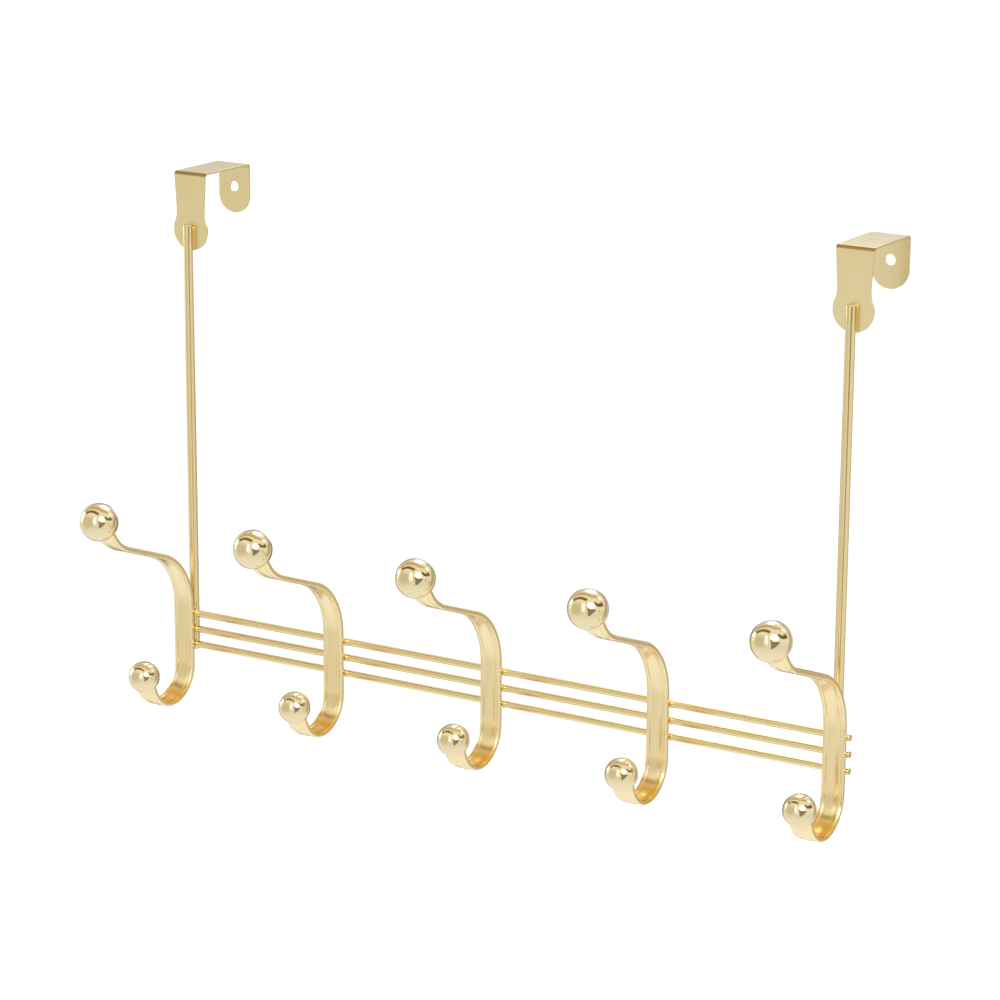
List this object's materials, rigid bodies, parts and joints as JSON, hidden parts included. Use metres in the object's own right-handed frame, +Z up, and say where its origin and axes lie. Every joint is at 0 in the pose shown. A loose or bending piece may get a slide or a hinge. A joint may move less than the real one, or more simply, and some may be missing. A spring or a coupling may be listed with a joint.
{
  "type": "over door hook",
  "caption": "Over-the-door rack: folded sheet brackets carry drop rods and wire rails with double hooks of reeded strap, each ending in a large ball above and a small ball below.",
  "frame": {"origin": "on the door's top edge at the door's front face, midway between the two brackets", "axes": "+X along the rails to the right as seen from the room, +Y through the door away from the room, +Z up"},
  "size_m": [0.4782, 0.1545, 0.3342],
  "materials": {
    "bracket_sheet": "satin plated",
    "rod_wire": "satin plated",
    "hook_strap": "satin plated",
    "polished_ball": "polished"
  },
  "bodies": {
    "root": {"door_bracket_left": "bracket_sheet", "drop_rod_left": "rod_wire", "door_bracket_right": "bracket_sheet", "drop_rod_right": "rod_wire", "rail_wire_top": "rod_wire", "rail_wire_middle": "rod_wire", "rail_wire_bottom": "rod_wire", "hook_strap_1": "hook_strap", "upper_ball_1": "polished_ball", "lower_ball_1": "polished_ball", "hook_strap_2": "hook_strap", "upper_ball_2": "polished_ball", "lower_ball_2": "polished_ball", "hook_strap_3": "hook_strap", "upper_ball_3": "polished_ball", "lower_ball_3": "polished_ball", "hook_strap_4": "hook_strap", "upper_ball_4": "polished_ball", "lower_ball_4": "polished_ball", "hook_strap_5": "hook_strap", "upper_ball_5": "polished_ball", "lower_ball_5": "polished_ball"}
  },
  "joints": []
}
